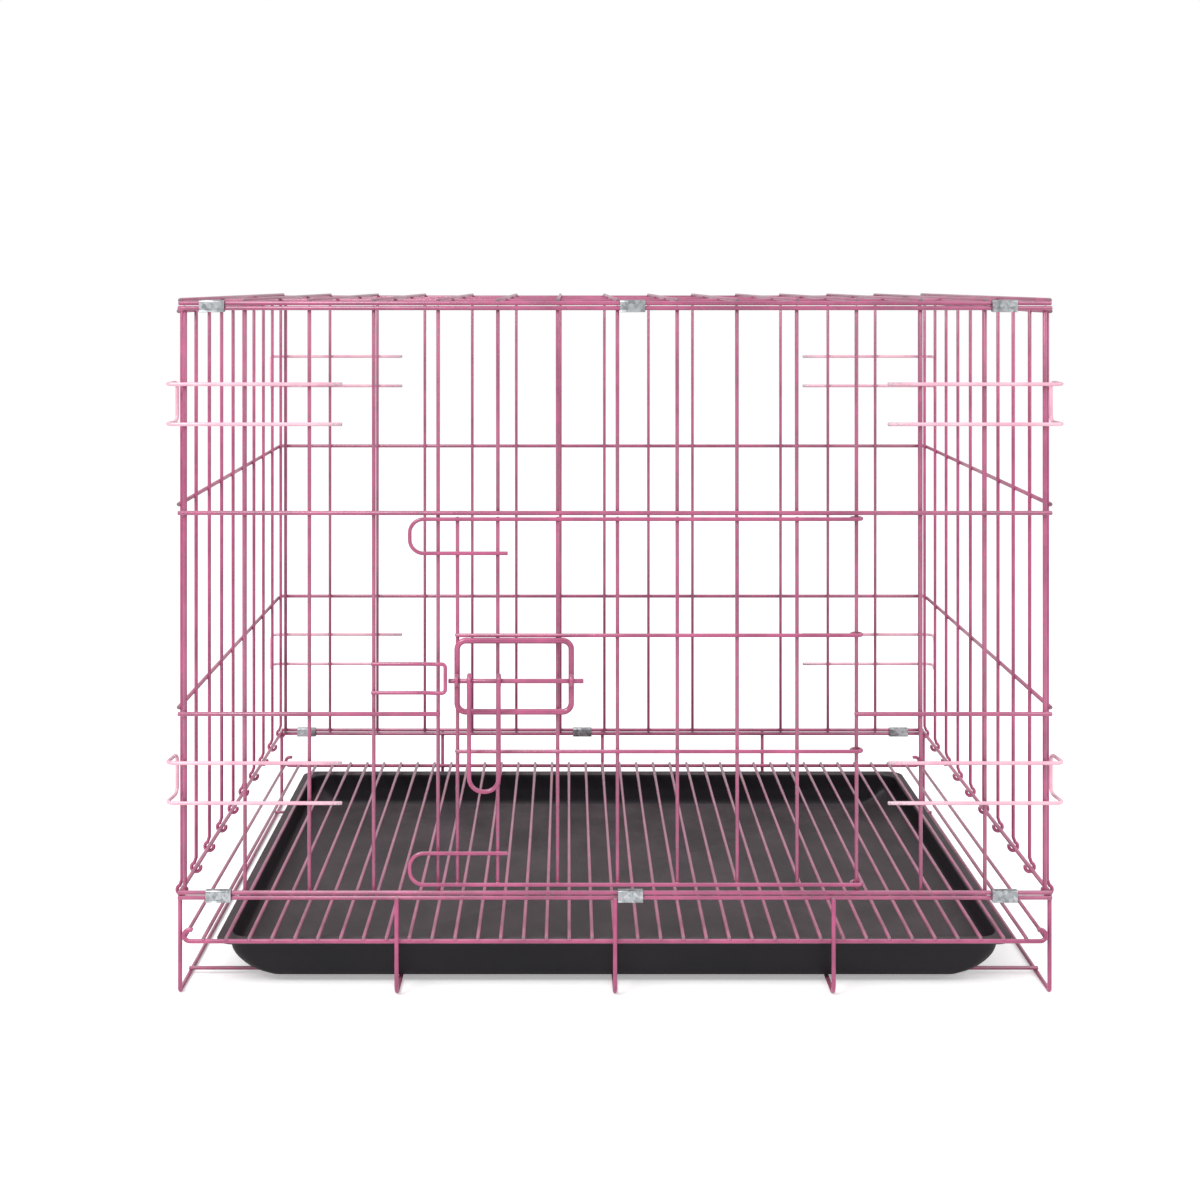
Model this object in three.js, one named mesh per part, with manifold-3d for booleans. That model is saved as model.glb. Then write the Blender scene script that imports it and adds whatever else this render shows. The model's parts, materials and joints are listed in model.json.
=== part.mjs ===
// A wire rabbit cage in millimetres: X runs along the front, +Y is the back, Z is up, the floor is z = 0.
// Wires are six-sided with the cross-section area of the round wire, and turn a flat to the wire they are welded to.
import * as THREE from "three";
import { mergeVertices } from "three/addons/utils/BufferGeometryUtils.js";
import Module from "manifold-3d";

const wasm = await Module();
wasm.setup();

// Overall sizes, between wire centres.
const width = 601.2; // between the planes of the side panels
const depth = 420; // between the planes of the front and back rails
const wallHeight = 403.1; // bottom rail to top rail of the front panel
const baseHeight = 67.1; // floor to the base's front rail

// Wire diameters, and the gap left between pieces that are not welded.
const thin = 2.6;
const rail = 3;
const thick = 4;
const ringWire = 2.6;
const gap = 0.3;

const corner = (diameter) => 0.55 * diameter; // centre of the six-sided wire to its edge
const flat = (diameter) => corner(diameter) * Math.cos(Math.PI / 6); // centre to its flat side
const bite = 0.575; // how far two welded wires sink into each other
const weave = flat(rail) + flat(thin) - bite; // rail centre to upright centre
const thinWeave = 2 * flat(thin) - bite; // centres of two thin wires welded across each other
const eyeCorner = Math.cos(THREE.MathUtils.degToRad(18)); // an eye's flat steps come this much closer to its centre
const stack = 2 * corner(rail) + 0.1; // centres of two rails held in one clip
const overrun = 1; // wires pass the last rail's centre by this

// Planes.
const sideX = width / 2;
const railY = depth / 2;
const uprightY = railY - weave;
const postY = uprightY - flat(rail) + flat(thin);
const postX = sideX - 2 * corner(rail) - 0.2;
const railEndX = sideX + 0.9;
const hoopY = railY - 2 * flat(rail) - gap; // legs of the side frames stand behind the rails
const legY = railY + 2 * flat(rail) + gap; // legs across the middle stand in front of them

// Heights.
const hoopZ = baseHeight + 2.5;
const bottomZ = baseHeight + stack;
const topZ = bottomZ + wallHeight;
const lidZ = topZ + stack;
const sideTopZ = topZ - 2.2;
const atHeight = (share) => bottomZ + share * wallHeight;
const frontMidZ = [atHeight(0.3056), atHeight(0.6495)];
const backMidZ = [atHeight(0.3118), atHeight(0.6616)];

// Uprights of the front, the back and the lid: three bays, of which the middle one is the door's.
const frameX = -0.2031 * width;
const hingeX = 0.2776 * width;
const bayEndX = sideX - 0.6;
const spread = (from, to, count) =>
  Array.from({ length: count - 1 }, (_, i) => from + ((i + 1) * (to - from)) / count);
const leftBay = spread(-bayEndX, frameX, 4);
const doorBay = spread(frameX, hingeX, 7);
const rightBay = spread(hingeX, bayEndX, 3);

// Door: its cross wires stand one eye radius in front of the hinge wire.
const doorEyeRadius = (2 * corner(thin) + 0.4) / eyeCorner;
const doorWireY = -(uprightY + doorEyeRadius);
const doorUprightY = doorWireY + thinWeave;
const doorTopZ = frontMidZ[1] - 4.1;
const doorBottomZ = bottomZ + 5.9;
const doorHeight = doorTopZ - doorBottomZ;
const doorCrossZ = [doorBottomZ + 0.3646 * doorHeight, doorBottomZ + 0.6823 * doorHeight];
const doorEdgeX = frameX + 13.5;
const doorHookTipX = frameX - 19.3;
const doorHookEndX = frameX + 48.3;
const doorHookTop = 23.5;
const doorHookBottom = 21.6;
const doorHookRadius = 9.5;

// Side panels, which fold past the door's eyes.
const eyeRadius = (corner(rail) + corner(thin) + 0.1) / eyeCorner;
const sidePostY = uprightY - doorEyeRadius - 2 * corner(thin) - gap;
const sideWireY = [-sidePostY, ...spread(-sidePostY, sidePostY, 9), sidePostY];

// Latch: guide loop, bolt, handle and the catch on the front panel.
const loopLength = 78.5;
const loopHeight = 48.9;
const bolt = 3.2; // the bolt's diameter
const guideRadius = (corner(bolt) + corner(ringWire) + gap) / eyeCorner;
const handleEyeRadius = (corner(bolt) + corner(rail) + gap) / eyeCorner;
const loopY = doorUprightY - flat(thin) - gap - flat(thick);
const loopZ = doorBottomZ + 0.572 * doorHeight;
const boltY = doorWireY - flat(thin) - gap - corner(rail) - handleEyeRadius;
const boltZ = loopZ - 2;
const boltX = [doorEdgeX - 5.7, doorEdgeX + 86.9];
const handleX = [doorEdgeX + 8.6, doorEdgeX + 28.9];
const handleDrop = 75.5;
const handleRadius = 9.5;
const catchY = boltY - corner(bolt) - gap - corner(thin);
const catchEndX = boltX[0] - corner(thin) - 0.4;
const catchHalf = 9.9;
const catchRise = 2.4;

// Corner hooks.
const hookY = uprightY + 2 * flat(thin) + gap;
const hookStartX = sideX - 112.6;
const hookEndX = sideX + eyeRadius + 2 * corner(thin) + gap; // clear of the side panel's eyes
const hookOutX = hookEndX + 2.6;
const hookReach = 22.5;
const hookHalf = 13.8;
const hookZ = [atHeight(0.1878), atHeight(0.8356)];

// Clips: a folded sheet sleeve round two stacked rails.
const sheet = 0.6;
const clipWidth = 17.4;
const clipClearance = 0.35;
const clipLip = 0.4;
const beside = (wireX, diameter) => wireX + corner(diameter) + gap + clipWidth / 2;

// Base.
const hoopCorner = 2.2;
const legX = [-width / 4, 0, width / 4];
const legCorner = 7;
const floorWireY = depth / 2.4;
const floorWireZ = 2 * flat(rail) + gap + flat(thin);

// Floor grate.
const grateX = sideX - corner(rail) - gap - corner(thin);
const grateRailZ = 37;
const slatZ = grateRailZ + weave;
const slatCount = 37;
const slatEndY = railY + 0.9;
const curlRadius = 4;

// Tray: half length, half depth, corner radius and height of each rim from the outer bottom to the inner floor.
const trayX = sideX - 22.6;
const trayY = hoopY - corner(rail) - 1.7;
const trayBottomZ = floorWireZ + flat(thin) + gap;
const trayRimZ = 33.8;
const trayWall = 1.8;

const materials = {
  pink_wire: { color: 0xc76a8f, roughness: 0.45, metalness: 0.1 },
  pale_wire: { color: 0xe8bccb, roughness: 0.45, metalness: 0.1 },
  zinc_sheet: { color: 0xb9bcbe, roughness: 0.35, metalness: 0.9 },
  black_plastic: { color: 0x1e1a20, roughness: 0.5, metalness: 0 },
};

const at = (x, y, z) => new THREE.Vector3(x, y, z);
const axisX = at(1, 0, 0);
const axisY = at(0, 1, 0);
const axisZ = at(0, 0, 1);

// A path through exactly the given points, with the section set square to the bisector at each bend.
class BentPath extends THREE.Curve {
  constructor(points) {
    super();
    this.points = points;
  }

  getPointAt(u, target = new THREE.Vector3()) {
    return target.copy(this.points[Math.round(u * (this.points.length - 1))]);
  }

  getTangentAt(u, target = new THREE.Vector3()) {
    const last = this.points.length - 1;
    const i = Math.round(u * last);
    target.set(0, 0, 0);
    if (i > 0) target.add(this.points[i].clone().sub(this.points[i - 1]).normalize());
    if (i < last) target.add(this.points[i + 1].clone().sub(this.points[i]).normalize());
    return target.normalize();
  }
}

// Carries a section, given as [towards facing, across it] pairs, along the points.
function sweep(points, section, facing) {
  const path = new BentPath(points);
  const steps = points.length - 1;
  const frames = path.computeFrenetFrames(steps, false);
  const turn = Math.atan2(facing.dot(frames.binormals[0]), facing.dot(frames.normals[0]));
  const shape = new THREE.Shape(
    section.map(([a, b]) => new THREE.Vector2(a, b).rotateAround(new THREE.Vector2(), turn)),
  );
  return new THREE.ExtrudeGeometry(shape, { steps, extrudePath: path, bevelEnabled: false });
}

// A wire with one of its six flats turned to `facing`.
function wire(points, diameter, facing) {
  const section = [30, 90, 150, 210, 270, 330].map((degrees) => {
    const angle = THREE.MathUtils.degToRad(degrees);
    return [corner(diameter) * Math.cos(angle), corner(diameter) * Math.sin(angle)];
  });
  return sweep(points, section, facing);
}

// Points on an arc about `centre`, from the direction `u` towards `v`.
function arc(centre, u, v, radius, fromDegrees, toDegrees, steps) {
  return Array.from({ length: steps + 1 }, (_, i) => {
    const angle = THREE.MathUtils.degToRad(fromDegrees + ((toDegrees - fromDegrees) * i) / steps);
    return centre
      .clone()
      .addScaledVector(u, radius * Math.cos(angle))
      .addScaledVector(v, radius * Math.sin(angle));
  });
}

// The polyline through `corners` with each inner corner rounded to its radius.
function rounded(corners, radii, steps = 3) {
  const points = [corners[0]];
  for (let i = 1; i < corners.length - 1; i += 1) {
    const back = corners[i - 1].clone().sub(corners[i]).normalize();
    const ahead = corners[i + 1].clone().sub(corners[i]).normalize();
    const half = back.angleTo(ahead) / 2;
    const radius = radii[i - 1];
    const middle = back.clone().add(ahead).normalize();
    const centre = corners[i].clone().addScaledVector(middle, radius / Math.sin(half));
    const start = corners[i].clone().addScaledVector(back, radius / Math.tan(half)).sub(centre);
    const across = ahead.clone().sub(back).normalize();
    const sweepAngle = Math.PI - 2 * half;
    for (let k = 0; k <= steps; k += 1) {
      const angle = -sweepAngle / 2 + (sweepAngle * k) / steps;
      points.push(
        centre
          .clone()
          .addScaledVector(middle, -start.length() * Math.cos(angle))
          .addScaledVector(across, start.length() * Math.sin(angle)),
      );
    }
  }
  points.push(corners[corners.length - 1]);
  return points;
}

const mirrored = (points, x, y) => points.map((p) => at(p.x * x, p.y * y, p.z));

function solidOf(geometry) {
  const bare = new THREE.BufferGeometry().setAttribute("position", geometry.getAttribute("position"));
  if (geometry.index) bare.setIndex(geometry.index);
  const merged = mergeVertices(bare, 1e-4);
  return new wasm.Manifold(
    new wasm.Mesh({
      numProp: 3,
      vertProperties: merged.getAttribute("position").array,
      triVerts: new Uint32Array(merged.index.array),
    }),
  );
}

// Joins pieces into the one body of a named mesh and adds it to the cage.
const cage = new THREE.Group();
function addPiece(name, slot, pieces) {
  const body = pieces.map(solidOf).reduce((all, piece) => all.add(piece));
  const mesh = body.getMesh();
  const geometry = new THREE.BufferGeometry()
    .setAttribute("position", new THREE.BufferAttribute(new Float32Array(mesh.vertProperties), 3))
    .setIndex(new THREE.BufferAttribute(new Uint32Array(mesh.triVerts), 1));
  geometry.computeVertexNormals();
  const piece = new THREE.Mesh(geometry, new THREE.MeshStandardMaterial(materials[slot]));
  piece.name = name;
  cage.add(piece);
}

const alongX = (y, z, from, to, diameter, facing) =>
  wire([at(from, y, z), at(to, y, z)], diameter, facing);
const alongY = (x, z, from, to, diameter, facing) =>
  wire([at(x, from, z), at(x, to, z)], diameter, facing);
const upright = (x, y, from, to, diameter, facing) =>
  wire([at(x, y, from), at(x, y, to)], diameter, facing);

function frontPanel() {
  const rails = [bottomZ, frontMidZ[1], topZ].map((z) =>
    alongX(-railY, z, -railEndX, railEndX, rail, axisY),
  );
  const sideRails = [
    alongX(-railY, frontMidZ[0], -railEndX, frameX + overrun, rail, axisY),
    alongX(-railY, frontMidZ[0], hingeX - overrun, railEndX, rail, axisY),
  ];
  const posts = [-postX, postX].map((x) =>
    upright(x, -postY, bottomZ - overrun, topZ + overrun, rail, axisY),
  );
  const full = [...leftBay, frameX, hingeX, ...rightBay].map((x) =>
    upright(x, -uprightY, bottomZ - overrun, topZ + overrun, thin, axisY),
  );
  const overDoor = doorBay.map((x) =>
    upright(x, -uprightY, frontMidZ[1] - overrun, topZ + overrun, thin, axisY),
  );
  addPiece("front_panel", "pink_wire", [...rails, ...sideRails, ...posts, ...full, ...overDoor]);
}

function backPanel() {
  const rails = [bottomZ, ...backMidZ, topZ].map((z) =>
    alongX(railY, z, -railEndX, railEndX, rail, axisY),
  );
  const posts = [-postX, postX].map((x) =>
    upright(x, postY, bottomZ - overrun, topZ + overrun, rail, axisY),
  );
  const wires = [...leftBay, frameX, ...doorBay, hingeX, ...rightBay].map((x) =>
    upright(x, uprightY, bottomZ - overrun, topZ + overrun, thin, axisY),
  );
  addPiece("back_panel", "pink_wire", [...rails, ...posts, ...wires]);
}

// Each upright ends below in an eye that turns round the base's side rail.
function sidePanel(name, side) {
  const outward = at(side, 0, 0);
  const uprights = sideWireY.map((y) => {
    const eye = arc(at(side * sideX, y, hoopZ), outward, axisZ, eyeRadius, -205, 65, 8);
    const neck = at(side * sideX, y, hoopZ + 2.1 * eyeRadius);
    return wire([...eye, neck, at(side * sideX, y, sideTopZ + overrun)], thin, axisY);
  });
  const rails = [...backMidZ, sideTopZ].map((z) =>
    alongY(side * (sideX + weave), z, -sidePostY - overrun, sidePostY + overrun, rail, axisX),
  );
  addPiece(name, "pink_wire", [...uprights, ...rails]);
}

function lid() {
  const crossY = [-railY, -railY / 3, railY / 3, railY];
  const cross = crossY.map((y) => alongX(y, lidZ, -bayEndX - overrun, bayEndX + overrun, rail, axisZ));
  const edges = [-bayEndX, bayEndX].map((x) =>
    alongY(x, lidZ + weave, -railY, railY + overrun, rail, axisZ),
  );
  const wires = [...leftBay, frameX, ...doorBay, hingeX, ...rightBay].map((x) =>
    alongY(x, lidZ + weave, -railY, railY + overrun, thin, axisZ),
  );
  addPiece("lid", "pink_wire", [...cross, ...edges, ...wires]);
}

// The door's cross wires end in eyes round the hinge wire; the top and bottom ones hook over the frame wire.
function door() {
  const eye = (z) =>
    arc(at(hingeX, -uprightY, z), axisX, axisY, doorEyeRadius, -90, 190, 8);
  const hooked = (z, drop) =>
    wire(
      [
        ...rounded(
          [
            at(doorHookEndX, doorWireY, z + drop),
            at(doorHookTipX, doorWireY, z + drop),
            at(doorHookTipX, doorWireY, z),
            eye(z)[0],
          ],
          [doorHookRadius, doorHookRadius],
          4,
        ).slice(0, -1),
        ...eye(z),
      ],
      thin,
      axisY,
    );
  const straight = (z) => wire([at(doorEdgeX - overrun, doorWireY, z), ...eye(z)], thin, axisY);
  const uprights = [doorEdgeX, ...doorBay].map((x) =>
    upright(x, doorUprightY, doorBottomZ - overrun, doorTopZ + overrun, thin, axisY),
  );
  addPiece("door", "pink_wire", [
    hooked(doorTopZ, -doorHookTop),
    hooked(doorBottomZ, doorHookBottom),
    ...doorCrossZ.map(straight),
    ...uprights,
  ]);
}

function latchFrame() {
  const ends = [doorEdgeX, doorEdgeX + loopLength];
  const middle = (ends[0] + ends[1]) / 2;
  const half = (endX) =>
    wire(
      rounded(
        [
          at(middle + Math.sign(middle - endX), loopY, loopZ - loopHeight / 2),
          at(endX, loopY, loopZ - loopHeight / 2),
          at(endX, loopY, loopZ + loopHeight / 2),
          at(middle + Math.sign(middle - endX), loopY, loopZ + loopHeight / 2),
        ],
        [6, 6],
      ),
      thick,
      axisY,
    );
  const ring = (x) =>
    new THREE.TorusGeometry(guideRadius, corner(ringWire), 6, 12)
      .rotateY(Math.PI / 2)
      .translate(x, boltY, boltZ);
  addPiece("latch_frame", "pink_wire", [...ends.map(half), ...ends.map(ring)]);
}

function latchBolt() {
  addPiece("latch_bolt", "pink_wire", [
    wire([at(boltX[0], boltY, boltZ), at(boltX[1], boltY, boltZ)], bolt, axisY),
  ]);
}

// A U with an eye round the bolt at each end; it hangs in front of the door.
function latchHandle() {
  const eye = (x) =>
    arc(at(x, boltY, boltZ), at(0, -1, 0), axisZ, handleEyeRadius, 0, 250, 8);
  const foot = (x) => at(x, boltY - 1.1, boltZ - handleDrop);
  const [left, right] = handleX;
  const bend = rounded([eye(left)[0], foot(left), foot(right), eye(right)[0]], [handleRadius, handleRadius], 4);
  addPiece("latch_handle", "pink_wire", [
    wire([...eye(left).reverse(), ...bend.slice(1, -1), ...eye(right)], rail, axisX),
  ]);
}

// A thin U whose legs cross the panel's uprights and joggle forward to stand in front of the bolt's tip.
function latchCatch() {
  const startX = leftBay[2] - 1.5;
  const leg = (z) => [
    at(startX, -hookY, z),
    at(catchEndX - 15, -hookY, z),
    at(catchEndX - 6, catchY, z + catchRise),
    at(catchEndX, catchY, z + catchRise),
  ];
  const upper = leg(boltZ + catchHalf);
  const lower = leg(boltZ - catchHalf).reverse();
  addPiece("latch_catch", "pink_wire", [
    wire(rounded([...upper, ...lower], [2, 2, 2.5, 2.5, 2, 2], 2), thin, axisY),
  ]);
}

// A hairpin on the front or back panel that bends round the corner and laps over the side panel.
function cornerHook(name, x, y, z) {
  const top = [
    at(hookStartX, -hookY, z + hookHalf),
    at(hookOutX, -hookY, z + hookHalf),
    at(hookEndX, -railY + hookReach, z + hookHalf),
  ];
  const bottom = top.map((p) => at(p.x, p.y, 2 * z - p.z)).reverse();
  const path = rounded([...top, ...bottom], [5, 5, 5, 5]);
  addPiece(name, "pale_wire", [wire(mirrored(path, x, y), thin, axisY)]);
}

// A sheet sleeve round the rails at `lowZ` and one stack above, with the front face's lip left below.
function clip(name, x, side, lowZ) {
  const reach = corner(rail) + clipClearance / 2 + sheet / 2;
  const out = side * railY + side * reach;
  const inside = side * railY - side * reach;
  const path = rounded(
    [
      at(x, out + side * 0.5, lowZ - reach - clipLip),
      at(x, out, lowZ - reach + 0.3),
      at(x, out, lowZ + stack + reach),
      at(x, inside, lowZ + stack + reach),
      at(x, inside, lowZ - reach),
      at(x, out - side * (sheet + gap), lowZ - reach),
    ],
    [1, 1.2, 1.2, 1.2],
    3,
  );
  const section = [
    [-clipWidth / 2, -sheet / 2],
    [clipWidth / 2, -sheet / 2],
    [clipWidth / 2, sheet / 2],
    [-clipWidth / 2, sheet / 2],
  ];
  addPiece(name, "zinc_sheet", [sweep(path, section, axisX)]);
}

// A closed upright frame at one side of the base: two legs, the side panel's hinge rail and a floor wire.
function sideHoop(name, side) {
  const x = side * sideX;
  const middleZ = hoopZ / 2;
  const half = (endZ, radius) => {
    const joinZ = middleZ + Math.sign(middleZ - endZ);
    return wire(
      rounded(
        [at(x, -hoopY, joinZ), at(x, -hoopY, endZ), at(x, hoopY, endZ), at(x, hoopY, joinZ)],
        [radius, radius],
      ),
      rail,
      axisX,
    );
  };
  addPiece(name, "pink_wire", [half(hoopZ, hoopCorner), half(flat(rail), hoopCorner)]);
}

// A U across the base, whose runner stands on the floor.
function legHoop(name, x) {
  const top = baseHeight + overrun;
  addPiece(name, "pink_wire", [
    wire(
      rounded(
        [at(x, -legY, top), at(x, -legY, flat(rail)), at(x, legY, flat(rail)), at(x, legY, top)],
        [legCorner, legCorner],
      ),
      rail,
      axisY,
    ),
  ]);
}

// Slats across the cage on a rail at the front and one at the back, whose ends curl up.
function floorGrate() {
  const pitch = (grateX - 13.5) / ((slatCount - 1) / 2);
  const slats = Array.from({ length: slatCount }, (_, i) => (i - (slatCount - 1) / 2) * pitch);
  const wires = [-grateX, ...slats, grateX].map((x) =>
    alongY(x, slatZ, -slatEndY, slatEndY, thin, axisZ),
  );
  const curl = (y, side) => {
    const centre = at(side * (grateX - curlRadius), y, grateRailZ + curlRadius);
    return arc(centre, at(0, 0, -1), at(side, 0, 0), curlRadius, 0, 210, 7);
  };
  const rails = [-railY, railY].map((y) => wire([...curl(y, -1).reverse(), ...curl(y, 1)], rail, axisY));
  addPiece("floor_grate", "pink_wire", [...wires, ...rails]);
}

// A closed skin over a list of rounded rectangles [half length, half depth, corner radius, height].
function loft(rings, cornerSteps) {
  const vertices = [];
  const triangles = [];
  const count = 4 * (cornerSteps + 1);
  for (const [halfX, halfY, radius, z] of rings) {
    for (let q = 0; q < 4; q += 1) {
      const x = (q === 0 || q === 3 ? 1 : -1) * (halfX - radius);
      const y = (q < 2 ? 1 : -1) * (halfY - radius);
      for (const p of arc(at(x, y, z), axisX, axisY, radius, 90 * q, 90 * (q + 1), cornerSteps)) {
        vertices.push(p.x, p.y, p.z);
      }
    }
  }
  for (let r = 0; r < rings.length - 1; r += 1) {
    for (let i = 0; i < count; i += 1) {
      const a = r * count + i;
      const b = r * count + ((i + 1) % count);
      triangles.push(a, b, b + count, a, b + count, a + count);
    }
  }
  const last = rings.length - 1;
  vertices.push(0, 0, rings[0][3], 0, 0, rings[last][3]);
  const bottomCentre = rings.length * count;
  for (let i = 0; i < count; i += 1) {
    const next = (i + 1) % count;
    triangles.push(bottomCentre, next, i);
    triangles.push(bottomCentre + 1, last * count + i, last * count + next);
  }
  return new THREE.BufferGeometry()
    .setAttribute("position", new THREE.Float32BufferAttribute(vertices, 3))
    .setIndex(triangles);
}

// A shallow moulded basin with a flat rim all round.
function tray() {
  const underRimZ = trayRimZ - trayWall;
  const outer = [
    [trayX - 30, trayY - 13.5, 14, trayBottomZ],
    [trayX - 21, trayY - 11.9, 14, trayBottomZ + 3.6],
    [trayX - 13, trayY - 10.8, 14, trayBottomZ + 9.8],
    [trayX - 8.5, trayY - 9.9, 14, trayBottomZ + 16.4],
    [trayX - 7, trayY - 9, 14, underRimZ],
    [trayX, trayY, 12, underRimZ],
    [trayX, trayY, 12, trayRimZ],
  ];
  const inner = [
    [trayX - 8.8, trayY - 10.8, 13, trayRimZ],
    [trayX - 10.3, trayY - 11.7, 13, trayBottomZ + 16.4],
    [trayX - 14.6, trayY - 12.6, 13, trayBottomZ + 10.6],
    [trayX - 22.2, trayY - 13.7, 13, trayBottomZ + 4.9],
    [trayX - 30.5, trayY - 15.2, 13, trayBottomZ + trayWall],
  ];
  addPiece("tray", "black_plastic", [loft([...outer, ...inner], 5)]);
}

// Base, the root body.
addPiece("base_front_rail", "pink_wire", [
  alongX(-railY, baseHeight, -railEndX, railEndX, rail, axisY),
]);
addPiece("base_back_rail", "pink_wire", [
  alongX(railY, baseHeight, -railEndX, railEndX, rail, axisY),
]);
sideHoop("side_hoop_left", -1);
sideHoop("side_hoop_right", 1);
["left", "centre", "right"].forEach((place, i) => legHoop("leg_hoop_" + place, legX[i]));
[["front", -1], ["back", 1]].forEach(([place, side]) =>
  addPiece("floor_wire_" + place, "pink_wire", [
    alongX(side * floorWireY, floorWireZ, -railEndX, railEndX, thin, axisZ),
  ]),
);
floorGrate();
tray();

// Walls and lid.
frontPanel();
backPanel();
sidePanel("left_panel", -1);
sidePanel("right_panel", 1);
lid();

// Door and latch.
door();
latchFrame();
latchBolt();
latchHandle();
latchCatch();

// Clips: lid to front, front to base, back to base.
const endBayX = (leftBay[0] - bayEndX) / 2;
clip("lid_clip_left", endBayX, -1, topZ);
clip("lid_clip_centre", beside(doorBay[2], thin), -1, topZ);
clip("lid_clip_right", beside(rightBay[1], thin) + 2.5, -1, topZ);
clip("front_clip_left", endBayX + 4.5, -1, baseHeight);
clip("front_clip_centre", beside(legX[1], rail), -1, baseHeight);
clip("front_clip_right", beside(rightBay[1], thin) + 2.5, -1, baseHeight);
clip("back_clip_left", endBayX, 1, baseHeight);
clip("back_clip_centre", (doorBay[1] + doorBay[2]) / 2, 1, baseHeight);
clip("back_clip_right", -endBayX, 1, baseHeight);

for (const [wall, y] of [["front", 1], ["back", -1]]) {
  for (const [place, x] of [["left", -1], ["right", 1]]) {
    cornerHook([wall, "hook", place, "lower"].join("_"), x, y, hookZ[0]);
    cornerHook([wall, "hook", place, "upper"].join("_"), x, y, hookZ[1]);
  }
}

export default cage;
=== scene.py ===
"""The looks of a powder-coated wire rabbit cage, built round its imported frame.

Every wire is a round tube carried along the line of its CAD wire, with cut ends and weld nuggets. The
clips are folded zinc sheet and the tray is a moulded skin. Lengths below are millimetres; meshes are made
in metres.
"""

import json
import math

import bpy
import numpy as np
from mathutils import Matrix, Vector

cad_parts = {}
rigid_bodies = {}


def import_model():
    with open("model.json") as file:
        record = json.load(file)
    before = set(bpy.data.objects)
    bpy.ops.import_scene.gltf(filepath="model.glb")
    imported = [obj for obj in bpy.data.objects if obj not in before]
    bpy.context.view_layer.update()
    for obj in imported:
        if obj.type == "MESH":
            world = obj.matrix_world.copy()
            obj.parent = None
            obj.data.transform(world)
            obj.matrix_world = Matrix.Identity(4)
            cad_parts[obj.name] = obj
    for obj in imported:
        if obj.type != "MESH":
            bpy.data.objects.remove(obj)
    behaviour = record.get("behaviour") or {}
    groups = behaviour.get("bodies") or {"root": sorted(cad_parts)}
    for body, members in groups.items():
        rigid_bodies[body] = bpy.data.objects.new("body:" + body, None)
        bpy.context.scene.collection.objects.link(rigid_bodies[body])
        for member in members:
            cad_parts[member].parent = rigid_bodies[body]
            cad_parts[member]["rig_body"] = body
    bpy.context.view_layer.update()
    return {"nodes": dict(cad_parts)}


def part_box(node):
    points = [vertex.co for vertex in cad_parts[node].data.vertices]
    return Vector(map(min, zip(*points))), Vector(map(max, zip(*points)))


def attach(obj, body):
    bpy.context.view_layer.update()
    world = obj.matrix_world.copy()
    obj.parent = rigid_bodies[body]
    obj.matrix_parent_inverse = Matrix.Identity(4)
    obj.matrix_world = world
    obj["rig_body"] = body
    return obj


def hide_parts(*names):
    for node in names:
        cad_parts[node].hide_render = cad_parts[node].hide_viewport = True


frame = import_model()

MM = 0.001

# Overall sizes, between wire centres.
WIDTH = 601.2
DEPTH = 420.0
WALL_HEIGHT = 403.1
BASE_HEIGHT = 67.1

# Wire diameters.
THIN = 2.6
RAIL = 3.0
THICK = 4.0
RING = 2.6
BOLT = 3.2
GAP = 0.3
BITE = 0.575
OVERRUN = 1.0


def corner(diameter):
    """Half the width of a CAD wire across its corners: 0.55 of the round wire's diameter."""
    return 0.55 * diameter


def flat(diameter):
    """Half the width of a CAD wire across its flats."""
    return corner(diameter) * math.cos(math.pi / 6)


WEAVE = flat(RAIL) + flat(THIN) - BITE
THIN_WEAVE = 2 * flat(THIN) - BITE
EYE_CORNER = math.cos(math.radians(18))
STACK = 2 * corner(RAIL) + 0.1

# Planes and heights.
SIDE_X = WIDTH / 2
RAIL_Y = DEPTH / 2
UPRIGHT_Y = RAIL_Y - WEAVE
POST_Y = UPRIGHT_Y - flat(RAIL) + flat(THIN)
POST_X = SIDE_X - 2 * corner(RAIL) - 0.2
RAIL_END_X = SIDE_X + 0.9
HOOP_Y = RAIL_Y - 2 * flat(RAIL) - GAP
LEG_Y = RAIL_Y + 2 * flat(RAIL) + GAP
HOOP_Z = BASE_HEIGHT + 2.5
BOTTOM_Z = BASE_HEIGHT + STACK
TOP_Z = BOTTOM_Z + WALL_HEIGHT
LID_Z = TOP_Z + STACK
SIDE_TOP_Z = TOP_Z - 2.2
FRONT_MID_Z = [BOTTOM_Z + share * WALL_HEIGHT for share in (0.3056, 0.6495)]
BACK_MID_Z = [BOTTOM_Z + share * WALL_HEIGHT for share in (0.3118, 0.6616)]

# Uprights in three bays.
FRAME_X = -0.2031 * WIDTH
HINGE_X = 0.2776 * WIDTH
BAY_END_X = SIDE_X - 0.6
LEFT_BAY = list(np.linspace(-BAY_END_X, FRAME_X, 5)[1:-1])
DOOR_BAY = list(np.linspace(FRAME_X, HINGE_X, 8)[1:-1])
RIGHT_BAY = list(np.linspace(HINGE_X, BAY_END_X, 4)[1:-1])
WALL_X = LEFT_BAY + [FRAME_X] + DOOR_BAY + [HINGE_X] + RIGHT_BAY

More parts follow.
